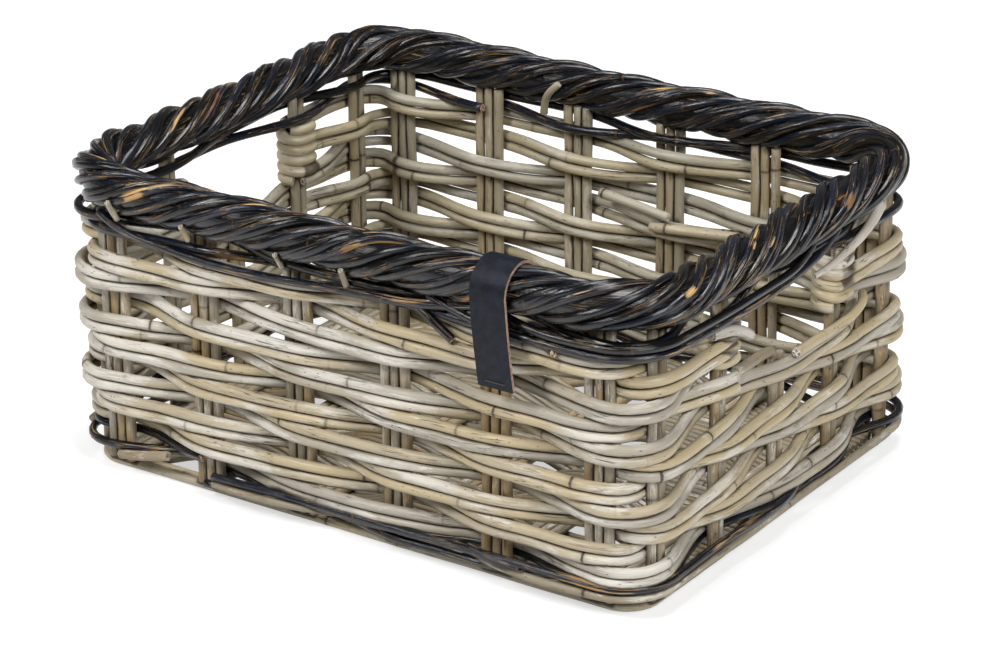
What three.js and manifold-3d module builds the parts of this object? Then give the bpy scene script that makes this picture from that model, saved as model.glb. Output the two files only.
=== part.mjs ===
// A rectangular basket of woven rattan with a rolled black border, two open handle holes and a leather tab.
// Millimetres. X runs along the long walls, Y from the front wall to the back wall, and Z up.
import * as THREE from "three";
import { mergeVertices } from "three/addons/utils/BufferGeometryUtils.js";
import Module from "manifold-3d";

const wasm = await Module();
wasm.setup();

// Wall line: the middle of the upright stakes, a rounded rectangle seen from above.
const wallLength = 424;
const wallWidth = 320;
const wallCornerRadius = 30;

// Stakes: groups of rods side by side. The end inset is from the wall's end to its outermost group.
const stakeRod = 6.8;
const longWallStakes = 6;
const shortWallStakes = 5;
const longEndInset = 27;
const shortEndInset = 20.4;
const longWallRods = 3;
const shortWallRods = 2;

// Woven rods, by diameter. Natural weavers run in pairs, one rod above the other.
const weaverRod = 6.5;
const waleRod = 5.4;
const frameRod = 6;
const roundCount = 7;
const upperLevels = 3;
const rodSides = 6;

// Every third stake has the woven rod behind it.
const insideStep = 3;

// Gaps: between pieces that touch, between levels of weavers, and where a rod passes a stake.
const seatGap = 0.3;
const levelGap = 0.35;
const passGap = 0.6;

// Border: a thick rope rolled round the top.
const rimRadius = 16.5;
const rimSpread = 5;
const rimCornerRadius = 55;
const rimStrands = 14;
const rimStrandDepthShare = 0.14;
const rimLay = 168;
const rimSteps = 96;

// Base: strips of rods woven over and under cross bars, inside a frame rod.
const stripCount = 5;
const stripRods = 10;
const stripGap = 0.8;

// Leather tab, folded over the front border.
const tabWidth = 25;
const tabThickness = 2;
const tabOffset = 122;
const tabDrop = 57;
const tabInnerDrop = 15;
const tabArcSteps = 10;
const seamLength = 14;
const seamHeight = 1.6;
const seamRise = 4;

// How far a cutting prism reaches past what it cuts.
const clearOverrun = 20;

// Colours.
const naturalMaterial = new THREE.MeshStandardMaterial({ color: 0xb3a58c, roughness: 0.75, metalness: 0 });
const stakeMaterial = new THREE.MeshStandardMaterial({ color: 0x9d8e74, roughness: 0.8, metalness: 0 });
const darkMaterial = new THREE.MeshStandardMaterial({ color: 0x171b24, roughness: 0.45, metalness: 0 });
const leatherMaterial = new THREE.MeshStandardMaterial({ color: 0x141a26, roughness: 0.6, metalness: 0 });
const threadMaterial = new THREE.MeshStandardMaterial({ color: 0x0c0f14, roughness: 0.8, metalness: 0 });

// A rounded rectangle, walked anticlockwise from the middle of its front side.
class RoundedLoop {
  constructor(length, width, radius) {
    this.width = width;
    this.radius = radius;
    this.straights = [length - 2 * radius, width - 2 * radius, length - 2 * radius, width - 2 * radius];
    this.bend = (Math.PI / 2) * radius;
    this.perimeter = this.straights.reduce((sum, straight) => sum + straight + this.bend, 0);
  }

  // The point at a distance along the loop, pushed outwards, at a height.
  at(distance, push, height) {
    const half = this.straights[0] / 2;
    const corner = new THREE.Vector2(-half, -this.width / 2);
    let rest = THREE.MathUtils.euclideanModulo(distance + half, this.perimeter);
    let heading = 0;
    for (const straight of this.straights) {
      const along = new THREE.Vector2(Math.cos(heading), Math.sin(heading));
      const inward = new THREE.Vector2(-along.y, along.x);
      const run = Math.min(rest, straight);
      corner.addScaledVector(along, run);
      rest -= run;
      const turn = Math.min(rest, this.bend) / this.radius;
      const centre = corner.clone().addScaledVector(inward, this.radius);
      const outward = inward.clone().negate().rotateAround(new THREE.Vector2(), turn);
      corner.copy(centre).addScaledVector(outward, this.radius);
      rest -= turn * this.radius;
      heading += Math.PI / 2;
      if (rest <= 0) {
        return new THREE.Vector3(corner.x + outward.x * push, corner.y + outward.y * push, height);
      }
    }
    return new THREE.Vector3(corner.x, corner.y - push, height);
  }

  // Distances at both ends of each bend and at even steps round it.
  bendDistances(steps) {
    const distances = [];
    let start = this.straights[0] / 2;
    for (const straight of [...this.straights.slice(1), this.straights[0]]) {
      for (let step = 0; step <= steps; step++) {
        distances.push(start + (this.bend * step) / steps);
      }
      start += this.bend + straight;
    }
    return distances;
  }
}

// The way of a rod from stop to stop.
class RodPath extends THREE.Curve {
  constructor(stops, turns) {
    super();
    this.stops = stops;
    this.turns = turns;
  }

  getPoint(t) {
    return this.stops[Math.round(t * (this.stops.length - 1))].clone();
  }

  getUtoTmapping(u) {
    return u;
  }

  // Frames that stay upright, or turn evenly where the rod is a rope.
  computeFrenetFrames(segments) {
    const up = new THREE.Vector3(0, 0, 1);
    const frames = { tangents: [], normals: [], binormals: [] };
    for (let i = 0; i <= segments; i++) {
      const here = this.getPoint(i / segments);
      const before = here.clone().sub(this.getPoint(Math.max(i - 1, 0) / segments)).normalize();
      const after = this.getPoint(Math.min(i + 1, segments) / segments).sub(here).normalize();
      const tangent = before.add(after).normalize();
      const normal = new THREE.Vector3().crossVectors(up, tangent).normalize();
      const angle = (2 * Math.PI * this.turns * i) / segments;
      normal.applyAxisAngle(tangent, angle);
      frames.tangents.push(tangent);
      frames.normals.push(normal);
      frames.binormals.push(new THREE.Vector3().crossVectors(tangent, normal));
    }
    return frames;
  }
}

const wall = new RoundedLoop(wallLength, wallWidth, wallCornerRadius);
const rim = new RoundedLoop(
  wallLength + 2 * rimSpread,
  wallWidth + 2 * rimSpread,
  rimCornerRadius,
);

// Stake places, in distance along the wall line. Number 1 is the front wall's left group.
const stakeCount = 2 * (longWallStakes + shortWallStakes);
const stakes = [];
for (let side = 0; side < 4; side++) {
  const long = side % 2 === 0;
  const count = long ? longWallStakes : shortWallStakes;
  const span = long ? wallLength - 2 * longEndInset : wallWidth - 2 * shortEndInset;
  for (let i = 0; i < count; i++) {
    stakes.push({
      wall: ["front", "right", "back", "left"][side],
      number: i + 1,
      rods: long ? longWallRods : shortWallRods,
      heading: (side * Math.PI) / 2,
      distance: (side * wall.perimeter) / 4 + span * (i / (count - 1) - 1 / 2),
    });
  }
}

// Stakes are counted on round the basket without end, so 23 is number 1 again.
function stakeAt(count) {
  const index = THREE.MathUtils.euclideanModulo(count - 1, stakeCount);
  const laps = Math.floor((count - 1) / stakeCount);
  return { ...stakes[index], distance: stakes[index].distance + laps * wall.perimeter };
}

// The hole's middle stake is short, and the stakes on both sides of it are the hole's edges.
const middleStake = (shortWallStakes + 1) / 2;
const rightHoleStake = longWallStakes + middleStake;
const leftHoleStake = rightHoleStake + stakeCount / 2;

// Heights, stacked from the floor up. Places of rods are their middles.
const pairHeight = 2 * weaverRod;
const levelRise = pairHeight + levelGap;
const firstStake = 2;
const lastStake = roundCount * stakeCount + rightHoleStake - 1;
const baseWaleLow = frameRod + seatGap + waleRod / 2;
const baseWaleHigh = baseWaleLow + waleRod + seatGap;
const firstRoundHeight = baseWaleHigh + waleRod / 2 + seatGap + pairHeight / 2;

// How far a rod has climbed at a distance. The natural weavers climb one level in each lap.
function climb(distance) {
  return (levelRise * (distance - stakeAt(firstStake).distance)) / wall.perimeter;
}

function roundHeight(distance) {
  return firstRoundHeight + climb(distance);
}

const lastRoundTop = roundHeight(stakeAt(lastStake).distance) + pairHeight / 2;
const lastBackTop = roundHeight(stakeAt(lastStake - stakeCount / 2).distance) + pairHeight / 2;
const frontLevelLow = lastRoundTop + levelGap + pairHeight / 2;
const levelHigh = frontLevelLow + (upperLevels - 1) * levelRise;
const backLevelLow = lastBackTop + levelGap + pairHeight / 2;
const topWaleLow = levelHigh + pairHeight / 2 + seatGap + waleRod / 2;
const topWaleHigh = topWaleLow + waleRod + seatGap;
const stakeTop = topWaleHigh + waleRod / 2;
const rimHeight = stakeTop + seatGap + rimRadius;
const rightHoleFloor = roundHeight(stakeAt(lastStake + 1 - stakeCount).distance) + pairHeight / 2;
const leftHoleFloor = roundHeight(stakeAt(lastStake + 1 - stakeCount / 2).distance) + pairHeight / 2;

// How far a rod's middle stands out of the wall line as it passes a stake.
function passPush(rod) {
  return stakeRod / 2 + passGap + rod / 2;
}

// Half the stretch over which a rod lies straight against a group of stakes.
function flatHalf(stake) {
  return (stake.rods * stakeRod) / 2 - stakeRod / 4;
}

// Says at which stakes a woven rod passes behind.
function goesInside(phase) {
  return (count) => THREE.MathUtils.euclideanModulo(count - phase, insideStep) === 0;
}

// Stops of a woven rod from one distance to another.
function wovenStops(start, end, isInside, rod, heightAt) {
  const push = passPush(rod);
  const knots = [];
  const bendShares = [1 / 4, 1 / 2, 3 / 4];
  for (let count = -stakeCount; stakeAt(count - 1).distance < end; count++) {
    const stake = stakeAt(count);
    const side = isInside(count) ? -push : push;
    const before = knots[knots.length - 1];
    const entry = new THREE.Vector2(stake.distance - flatHalf(stake), side);
    if (stake.number === 1 && before) {
      knots.push(...bendShares.map((share) => before.clone().lerp(entry, share)));
    }
    knots.push(entry, new THREE.Vector2(stake.distance + flatHalf(stake), side));
  }
  const points = knots.map((knot) => wall.at(knot.x, knot.y, heightAt(knot.x)));
  const cut = (distance) => {
    const next = knots.findIndex((knot) => knot.x > distance);
    const share = (distance - knots[next - 1].x) / (knots[next].x - knots[next - 1].x);
    return points[next - 1].clone().lerp(points[next], share);
  };
  const passed = points.filter((point, index) => knots[index].x > start && knots[index].x < end);
  return [cut(start), ...passed, cut(end)];
}

// Sections. X is across the rod's side and Y is up.
function shapeOf(points) {
  return new THREE.Shape(points.map(([x, y]) => new THREE.Vector2(x, y)));
}

function rodSection(diameter) {
  const corners = [];
  for (let i = 0; i < rodSides; i++) {
    const angle = (2 * Math.PI * (i + 1 / 2)) / rodSides;
    corners.push([(Math.cos(angle) * diameter) / 2, (Math.sin(angle) * diameter) / 2]);
  }
  return shapeOf(corners);
}

// Two rods, one on top of the other, pressed together along a waist.
function pairSection(diameter) {
  const r = diameter / 2;
  const waistShare = 0.62;
  return shapeOf([
    [0, -2 * r],
    [r, -r],
    [r * waistShare, 0],
    [r, r],
    [0, 2 * r],
    [-r, r],
    [-r * waistShare, 0],
    [-r, -r],
  ]);
}

// Rods side by side, with a valley between neighbours.
function groupSection(rods, diameter) {
  const valleyShare = 0.6;
  const crests = [];
  for (let i = 0; i < 2 * rods - 1; i++) {
    const depthShare = i % 2 === 0 ? 1 : valleyShare;
    crests.push([((i + 1 - rods) * diameter) / 2, (depthShare * diameter) / 2]);
  }
  const tip = (rods * diameter) / 2;
  const under = crests.map(([x, y]) => [x, -y]);
  return shapeOf([[-tip, 0], ...under, [tip, 0], ...crests.reverse()]);
}

// Rods side by side as a band that rests on flats, with ridges on top and a valley between neighbours.
function bandSection(rods, width, thickness) {
  const valleyShare = 0.3;
  const flatShare = 0.5;
  const pitch = width / rods;
  const under = [];
  const over = [];
  for (let i = 0; i < rods; i++) {
    const middle = (i + (1 - rods) / 2) * pitch;
    const flatReach = (pitch * flatShare) / 2;
    under.push([middle - flatReach, -thickness / 2], [middle + flatReach, -thickness / 2]);
    over.push([middle, thickness / 2]);
    if (i < rods - 1) {
      under.push([middle + pitch / 2, (-thickness * valleyShare) / 2]);
      over.push([middle + pitch / 2, (thickness * valleyShare) / 2]);
    }
  }
  return shapeOf([[-width / 2, 0], ...under, [width / 2, 0], ...over.reverse()]);
}

// A rope of strands, with a valley between neighbours.
function ropeSection(radius, strands) {
  const corners = [];
  for (let i = 0; i < 2 * strands; i++) {
    const angle = (Math.PI * i) / strands;
    const reach = radius * (i % 2 === 0 ? 1 : 1 - rimStrandDepthShare);
    corners.push([Math.cos(angle) * reach, Math.sin(angle) * reach]);
  }
  return shapeOf(corners);
}

const basket = new THREE.Group();

function addMesh(name, geometry, material) {
  const mesh = new THREE.Mesh(geometry, material);
  mesh.name = name;
  basket.add(mesh);
  return mesh;
}

function addRod(name, section, stops, material, turns = 0) {
  const extrudePath = new RodPath(stops, turns);
  const geometry = new THREE.ExtrudeGeometry(section, { steps: stops.length - 1, extrudePath });
  return addMesh(name, geometry, material);
}

// Joining and cutting of closed solids.
function toSolid(geometry) {
  const bare = geometry.clone();
  bare.deleteAttribute("normal");
  bare.deleteAttribute("uv");
  const merged = mergeVertices(bare);
  return new wasm.Manifold(new wasm.Mesh({
    numProp: 3,
    vertProperties: merged.attributes.position.array,
    triVerts: new Uint32Array(merged.index.array),
  }));
}

function toGeometry(solid) {
  const { vertProperties, triVerts } = solid.getMesh();
  const geometry = new THREE.BufferGeometry();
  geometry.setAttribute("position", new THREE.BufferAttribute(vertProperties, 3));
  geometry.setIndex(new THREE.BufferAttribute(triVerts, 1));
  geometry.computeVertexNormals();
  return geometry;
}

// Upright stakes, from the frame rod to the border.
function addStakes() {
  stakes.forEach((stake, index) => {
    const floors = { [rightHoleStake]: rightHoleFloor, [leftHoleStake]: leftHoleFloor };
    const top = floors[index + 1] ?? stakeTop;
    const bottom = frameRod + seatGap;
    const depth = top - bottom;
    const section = groupSection(stake.rods, stakeRod);
    const geometry = new THREE.ExtrudeGeometry(section, { depth, bevelEnabled: false });
    const mesh = addMesh(`stake_${stake.wall}_${stake.number}`, geometry, stakeMaterial);
    const ahead = wall.at(stake.distance + flatHalf(stake), 0, bottom);
    const behind = wall.at(stake.distance - flatHalf(stake), 0, bottom);
    mesh.position.copy(ahead).lerp(behind, 1 / 2);
    mesh.rotation.z = Math.atan2(ahead.y - behind.y, ahead.x - behind.x);
  });
}

// Natural weavers below the holes: one pair of rods climbs lap by lap, in pieces that meet behind a stake.
function addRounds() {
  const pieceStakes = stakeCount - 1;
  const section = pairSection(weaverRod);
  for (let first = firstStake, number = 1; first < lastStake; first += pieceStakes, number++) {
    const last = Math.min(first + pieceStakes, lastStake);
    const start = stakeAt(first).distance + seatGap / 2;
    const endShift = last === lastStake ? flatHalf(stakeAt(last)) : -seatGap / 2;
    const end = stakeAt(last).distance + endShift;
    const stops = wovenStops(start, end, goesInside(firstStake), weaverRod, roundHeight);
    addRod(`weaver_round_${number}`, section, stops, naturalMaterial);
  }
}

// The turns of rod round a hole's edge stake, and how far they reach along the wall.
const wrapInner = stakeRod / 2 + seatGap;
const wrapStretch = ((shortWallRods - 1) * stakeRod) / 2;
const wrapReach = wrapStretch + wrapInner + weaverRod;

// Natural weavers beside the holes: shorter pairs that end at the holes' edge stakes.
function addUpperWeavers() {
  const section = pairSection(weaverRod);
  const front = { name: "front", low: frontLevelLow, phases: [2, 0, 1] };
  front.first = leftHoleStake + 1 - stakeCount;
  front.last = rightHoleStake - 1;
  const back = { name: "back", low: backLevelLow, phases: [1, 0, 2] };
  back.first = rightHoleStake + 1;
  back.last = leftHoleStake - 1;
  for (const part of [front, back]) {
    const start = stakeAt(part.first).distance + wrapReach + seatGap;
    const end = stakeAt(part.last).distance - wrapReach - seatGap;
    for (let level = 0; level < upperLevels; level++) {
      const height = part.low + ((levelHigh - part.low) * level) / (upperLevels - 1);
      const isInside = goesInside(part.phases[level]);
      const stops = wovenStops(start, end, isInside, weaverRod, () => height);
      addRod(`weaver_${part.name}_${level + 1}`, section, stops, naturalMaterial);
    }
  }
}

// Rod ends wound round the four edge stakes, as a ribbed sleeve.
function addEdgeWraps() {
  const segments = 8;
  const valleyShare = 0.7;
  const top = levelHigh + pairHeight / 2;
  const edges = [
    { count: rightHoleStake - 1, name: "right_front", bottom: frontLevelLow - pairHeight / 2 },
    { count: rightHoleStake + 1, name: "right_back", bottom: backLevelLow - pairHeight / 2 },
    { count: leftHoleStake - 1, name: "left_back", bottom: backLevelLow - pairHeight / 2 },
    { count: leftHoleStake + 1, name: "left_front", bottom: frontLevelLow - pairHeight / 2 },
  ];
  for (const edge of edges) {
    const height = top - edge.bottom;
    const turns = Math.round(height / weaverRod);
    const profile = [new THREE.Vector2(wrapInner, 0)];
    for (let i = 0; i <= 2 * turns; i++) {
      const depthShare = i % 2 === 1 ? 1 : valleyShare;
      profile.push(new THREE.Vector2(wrapInner + weaverRod * depthShare, (height * i) / (2 * turns)));
    }
    profile.push(new THREE.Vector2(wrapInner, height), new THREE.Vector2(wrapInner, 0));
    const geometry = new THREE.LatheGeometry(profile, segments, Math.PI / segments);
    geometry.rotateX(Math.PI / 2);
    const position = geometry.attributes.position;
    for (let i = 0; i < position.count; i++) {
      position.setX(i, position.getX(i) + Math.sign(position.getX(i)) * wrapStretch);
    }
    const stake = stakeAt(edge.count);
    const mesh = addMesh(`edge_wrap_${edge.name}`, geometry, naturalMaterial);
    mesh.position.copy(wall.at(stake.distance, 0, edge.bottom));
    mesh.rotation.z = stake.heading;
  }
}

// Black rods woven through the stakes above the base and below the border.
// The lower two climb with the weavers.
function addWales() {
  const section = rodSection(waleRod);
  const topStart = stakeCount - longWallStakes;
  const wales = [
    { name: "base_wale_1", height: baseWaleLow, climbShare: 1 / 3, from: firstStake, phase: 0 },
    { name: "base_wale_2", height: baseWaleHigh, climbShare: 2 / 3, from: firstStake, phase: 2 },
    { name: "top_wale_1", height: topWaleLow, climbShare: 0, from: topStart, phase: 1 },
    { name: "top_wale_2", height: topWaleHigh, climbShare: 0, from: topStart, phase: 0 },
  ];
  for (const wale of wales) {
    const start = stakeAt(wale.from).distance + seatGap / 2;
    const end = start + wall.perimeter - seatGap;
    const heightAt = (distance) => wale.height + wale.climbShare * climb(distance);
    const stops = wovenStops(start, end, goesInside(wale.phase), waleRod, heightAt);
    addRod(wale.name, section, stops, darkMaterial);
  }
}

// The rolled border. Its strands rise to the right as seen from outside, a left-handed lay.
function addRim() {
  const turns = -Math.round(rim.perimeter / rimLay);
  const span = rim.perimeter - seatGap;
  const stops = [];
  for (let i = 0; i <= rimSteps; i++) {
    stops.push(rim.at(rim.perimeter / 2 + (span * i) / rimSteps, 0, rimHeight));
  }
  addRod("rim_border", ropeSection(rimRadius, rimStrands), stops, darkMaterial, turns);
}

// The base: a frame rod, cross bars, and strips woven between the bars.
function addBase() {
  const bendSteps = 5;
  const frameInset = frameRod / 2;
  const frameStops = [0, ...wall.bendDistances(bendSteps), wall.perimeter - seatGap]
    .map((distance) => wall.at(distance, -frameInset, frameRod / 2));
  addRod("base_frame_rod", rodSection(frameRod), frameStops, naturalMaterial);

  const barLow = frameRod + seatGap;
  const stripHigh = barLow + stakeRod + seatGap;
  const stripInset = frameRod + seatGap;
  const barInset = passPush(waleRod) + waleRod / 2 + seatGap;
  const stripField = insetPrism(stripInset, stripHigh + frameRod);
  const barField = insetPrism(barInset, stripHigh);
  const barSpan = wallLength - 2 * longEndInset;
  const bars = [];
  for (let i = 0; i < longWallStakes; i++) {
    bars.push(barSpan * (i / (longWallStakes - 1) - 1 / 2));
  }

  bars.forEach((x, i) => {
    const options = { depth: wallWidth, bevelEnabled: false };
    const bar = new THREE.ExtrudeGeometry(groupSection(longWallRods, stakeRod), options);
    bar.rotateX(Math.PI / 2);
    bar.translate(x, wallWidth / 2, barLow + stakeRod / 2);
    addMesh(`base_bar_${i + 1}`, toGeometry(toSolid(bar).intersect(barField)), stakeMaterial);
  });

  const weaverInset = passPush(weaverRod) + weaverRod / 2 + seatGap;
  const fieldWidth = wallWidth - 2 * weaverInset;
  const stripWidth = (fieldWidth - (stripCount - 1) * stripGap) / stripCount;
  const section = bandSection(stripRods, stripWidth, frameRod);
  const flat = (longWallRods * stakeRod) / 2 + stakeRod / 4;
  for (let strip = 0; strip < stripCount; strip++) {
    const knots = [new THREE.Vector2(-wallLength / 2, 0)];
    bars.forEach((x, i) => {
      const outermost = i === 0 || i === bars.length - 1;
      const height = !outermost && (i + strip) % 2 === 1 ? stripHigh : 0;
      knots.push(new THREE.Vector2(x - flat, height), new THREE.Vector2(x + flat, height));
    });
    knots.push(new THREE.Vector2(wallLength / 2, 0));
    const bends = knots.filter((knot, i) => knots[i - 1]?.y !== knot.y || knots[i + 1]?.y !== knot.y);
    const y = (strip + (1 - stripCount) / 2) * (stripWidth + stripGap);
    const band = bandGeometry(section, bends, y, frameRod / 2);
    addMesh(`base_strip_${strip + 1}`, toGeometry(toSolid(band).intersect(stripField)), naturalMaterial);
  }
}

// A band along X that goes from bend to bend, cut upright at each of them.
function bandGeometry(section, bends, y, rise) {
  const steps = bends.length - 1;
  const band = new THREE.ExtrudeGeometry(section, { depth: steps, steps, bevelEnabled: false });
  const position = band.attributes.position;
  for (let i = 0; i < position.count; i++) {
    const bend = bends[Math.round(position.getZ(i))];
    position.setXYZ(i, bend.x, y + position.getX(i), bend.y + rise + position.getY(i));
  }
  return band;
}

// The space inside the walls, as a prism that reaches past the base on both sides.
function insetPrism(inset, height) {
  const bendSteps = 6;
  const loop = new RoundedLoop(wallLength - 2 * inset, wallWidth - 2 * inset, wallCornerRadius - inset);
  const outline = loop.bendDistances(bendSteps).map((distance) => {
    const point = loop.at(distance, 0, 0);
    return [point.x, point.y];
  });
  const depth = height + 2 * clearOverrun;
  const prism = new THREE.ExtrudeGeometry(shapeOf(outline), { depth, bevelEnabled: false });
  prism.translate(0, 0, -clearOverrun);
  return toSolid(prism);
}

// The leather tab: over the border, down in front of the wall and a little way down inside.
function addTab() {
  const inner = rimRadius + seatGap;
  const outer = inner + tabThickness;
  const arc = (radius, from, to) => {
    const points = [];
    for (let i = 0; i <= tabArcSteps; i++) {
      const angle = from + ((to - from) * i) / tabArcSteps;
      points.push([Math.cos(angle) * radius, Math.sin(angle) * radius]);
    }
    return points;
  };
  const outline = [
    [inner, -tabInnerDrop],
    [outer, -tabInnerDrop],
    ...arc(outer, 0, Math.PI),
    [-outer, -tabDrop],
    [-inner, -tabDrop],
    ...arc(inner, Math.PI, 0),
  ];
  const options = { depth: tabWidth, bevelEnabled: false };
  const tab = new THREE.ExtrudeGeometry(shapeOf(outline), options);
  tab.rotateX(Math.PI / 2);
  tab.rotateZ(Math.PI / 2);
  const frontY = -wallWidth / 2 - rimSpread;
  const mesh = addMesh("leather_tab", tab, leatherMaterial);
  mesh.position.set(tabOffset - tabWidth / 2, frontY, rimHeight);

  const seam = new THREE.BoxGeometry(seamLength, tabThickness / 2, seamHeight);
  const seamMesh = addMesh("tab_seam", seam, threadMaterial);
  const seamY = frontY - outer - seatGap - tabThickness / 4;
  seamMesh.position.set(tabOffset, seamY, rimHeight - tabDrop + seamRise);
}

addStakes();
addRounds();
addUpperWeavers();
addEdgeWraps();
addWales();
addRim();
addBase();
addTab();

// The tab and its seam stand proud of the front only, so the whole is moved back to centre the origin.
const frontReach = rimRadius + seatGap + tabThickness + seatGap + tabThickness / 2;
basket.position.y = (frontReach - rimRadius) / 2;

export default basket;
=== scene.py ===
# A woven rattan bicycle basket with a rolled dark border and a leather tab. Metres.
from math import cos, pi, radians, sin, sqrt, tan, tau
from random import Random

import bpy
import numpy as np
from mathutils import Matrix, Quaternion, Vector
from mathutils.kdtree import KDTree


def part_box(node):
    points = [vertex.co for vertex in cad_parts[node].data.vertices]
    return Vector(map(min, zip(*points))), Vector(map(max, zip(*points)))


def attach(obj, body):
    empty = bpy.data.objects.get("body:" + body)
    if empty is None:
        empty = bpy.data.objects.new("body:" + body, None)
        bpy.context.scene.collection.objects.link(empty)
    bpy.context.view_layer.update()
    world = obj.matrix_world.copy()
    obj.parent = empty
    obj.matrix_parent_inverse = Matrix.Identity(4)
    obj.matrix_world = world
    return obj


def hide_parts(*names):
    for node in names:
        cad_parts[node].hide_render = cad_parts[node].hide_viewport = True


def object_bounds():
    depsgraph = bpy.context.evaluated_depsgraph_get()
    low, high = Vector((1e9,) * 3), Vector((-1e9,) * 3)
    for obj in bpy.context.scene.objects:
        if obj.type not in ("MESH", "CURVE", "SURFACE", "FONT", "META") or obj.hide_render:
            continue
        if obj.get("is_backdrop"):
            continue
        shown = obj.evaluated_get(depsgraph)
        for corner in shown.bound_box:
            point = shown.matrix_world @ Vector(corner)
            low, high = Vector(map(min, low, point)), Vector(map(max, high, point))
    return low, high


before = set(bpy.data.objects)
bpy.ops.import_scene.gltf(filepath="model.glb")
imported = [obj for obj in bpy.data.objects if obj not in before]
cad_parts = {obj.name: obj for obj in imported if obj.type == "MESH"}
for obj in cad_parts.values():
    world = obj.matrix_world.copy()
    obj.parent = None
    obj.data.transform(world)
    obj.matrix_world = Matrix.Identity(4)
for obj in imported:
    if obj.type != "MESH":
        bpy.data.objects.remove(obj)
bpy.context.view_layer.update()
MM = 0.001

# Diameters of the rods, and the height of the CAD's pair of weavers.
WEAVER = 7.1 * MM
STAKE = 6.8 * MM
BASE_WALE = 5.7 * MM
TOP_WALE = 6.4 * MM
BASE_ROD = 6 * MM
WRAP = 8.4 * MM
STRAND = 6.1 * MM
CAD_PAIR = 13 * MM

# Meshes: sides of a thick and a thin rod, and the length of a step along it.
ROD_SIDES = 10
THIN_SIDES = 8
ROD_STEP = 4.5 * MM

# A rod's swelling at a cane ring and in between, and its cut ends. Without rings, the next one is FAR away.
RING_SWELL, RING_WIDTH, FAR = 0.07, 4 * MM, 1e3
UNEVEN = (0.035, 0.12)
CUT_SHARE, CUT_LIP, CUT_DOME = 0.88, 0.4 * MM, 0.45 * MM

# Random swings of the rods: reach and wavelength. Each piece has its own seed.
PAIR_SWING = (0.3 * MM, 0.15)
WEAVER_SWING = (0.25 * MM, 0.1)
STAKE_SWAY = (0.35 * MM, 0.08)
WRAP_SWING = (0.5 * MM, 0.3)
WALE_SWING = (0.7 * MM, 0.2)
RIM_TURN_SWING = (0.08, 0.11)
RIM_SWING = (0.5 * MM, 0.09)
BAR_SWING = (0.2 * MM, 0.1)
STRIP_SWING = (0.15 * MM, 0.1)

# The wall line's corner radius, and the border's.
WALL_CORNER = 22 * MM
RIM_CORNER = 48 * MM

# Stakes: the step from rod to rod, how far they go into the border, and how much they lean.
STAKE_SPACING = 7.3 * MM
STAKE_INTO_RIM = 4 * MM
STAKE_LEAN = 0.6 * MM

# Weave: behind every third stake group. The rounds start at group 2 and climb seven laps.
INSIDE_STEP = 3
FIRST_STAKE = 2
LAPS = 7
UPPER_LEVELS = 3
LEVEL_GAP = 0.35 * MM

# How close a rod passes a stake, and how it bows between stakes, at a corner and behind a group.
PASS_GAP = 0.15 * MM
PASS_SLACK = 0.6 * MM
BOW = 1.8 * MM
CORNER_BOW = 1 * MM
INSIDE_BEND = 0.07

# How pairs shift up or down, into a window next to them and away from a pair that they cross.
SQUEEZE = 0.45 * MM
APART = 0.8 * MM

# Turns at the handle holes: how flat their sides are, and their gap to the stake.
WRAP_FLATNESS = 2.2
WRAP_GAP = 0.3 * MM

# Strands outside the base wales: stakes between inside passes, place after, over and outside the wales, and share
# of their lap and thickness.
STRAND_SPAN = 12
STRAND_SHIFT = 9 * MM
STRAND_LIFTS = (3 * MM, 2.2 * MM)
STRAND_PROUD = 4.3 * MM
STRAND_SHARE = 0.92
STRAND_THINNER = 0.97

# Border: its strands lie in bundles, pulled towards each bundle's middle, with a dip in between.
RIM_STRANDS = 14
RIM_BUNDLES = 3
BUNDLE_PULL = 0.2
BUNDLE_DIP = 1.6 * MM
RIM_LAY = 168 * MM
RIM_SEAM = 122 * MM
RIM_STEP = 3.2 * MM
RIM_CORE_DEPTH = 2 * MM
CORNER_RISE = 3 * MM
SIDE_DROP = 0.6 * MM

# Base: the frame rod's place outside the wall line, and the rods' height over the floor.
FRAME_PUSH = -0.8 * MM
BASE_LIFT = 0.35 * MM

# Leather tab: lean, thickness, gap to the border, bulge, and length and rows of points inside.
TAB_LEAN = radians(6)
TAB_THICK = 2 * MM
TAB_GAP = 0.5 * MM
TAB_BULGE = 0.8 * MM
TAB_INSIDE = 15 * MM
TAB_INSIDE_ROWS = 4

# Seam: the stitches, half of one's share of their step, how they stand out, arch and slant, and the thread.
STITCHES = 6
STITCH_SHARE = 0.42
STITCH_OUT, STITCH_ARCH, STITCH_SLANT = 0.9 * MM, 0.35 * MM, 0.15 * MM
THREAD_RADIUS = 0.45 * MM


def smooth(xs, ys, at):
    """Smooth values through the knots, without overshoot."""
    xs, ys = np.asarray(xs, float), np.asarray(ys, float)
    step, rise = np.diff(xs), np.diff(ys)
    slope = rise / step
    tangent = np.zeros(len(xs))
    before, after = slope[:-1], slope[1:]
    same = before * after > 0
    near, far = 2 * step[1:] + step[:-1], step[1:] + 2 * step[:-1]
    tangent[1:-1][same] = (near + far)[same] / (near[same] / before[same] + far[same] / after[same])
    i = np.clip(np.searchsorted(xs, at) - 1, 0, len(step) - 1)
    t = np.clip((at - xs[i]) / step[i], 0, 1)
    bend = t * t * (3 - 2 * t)
    lead = t * (1 - t) ** 2 * step[i] * tangent[i]
    trail = t * t * (t - 1) * step[i] * tangent[i + 1]
    return ys[i] + bend * rise[i] + lead + trail


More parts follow.
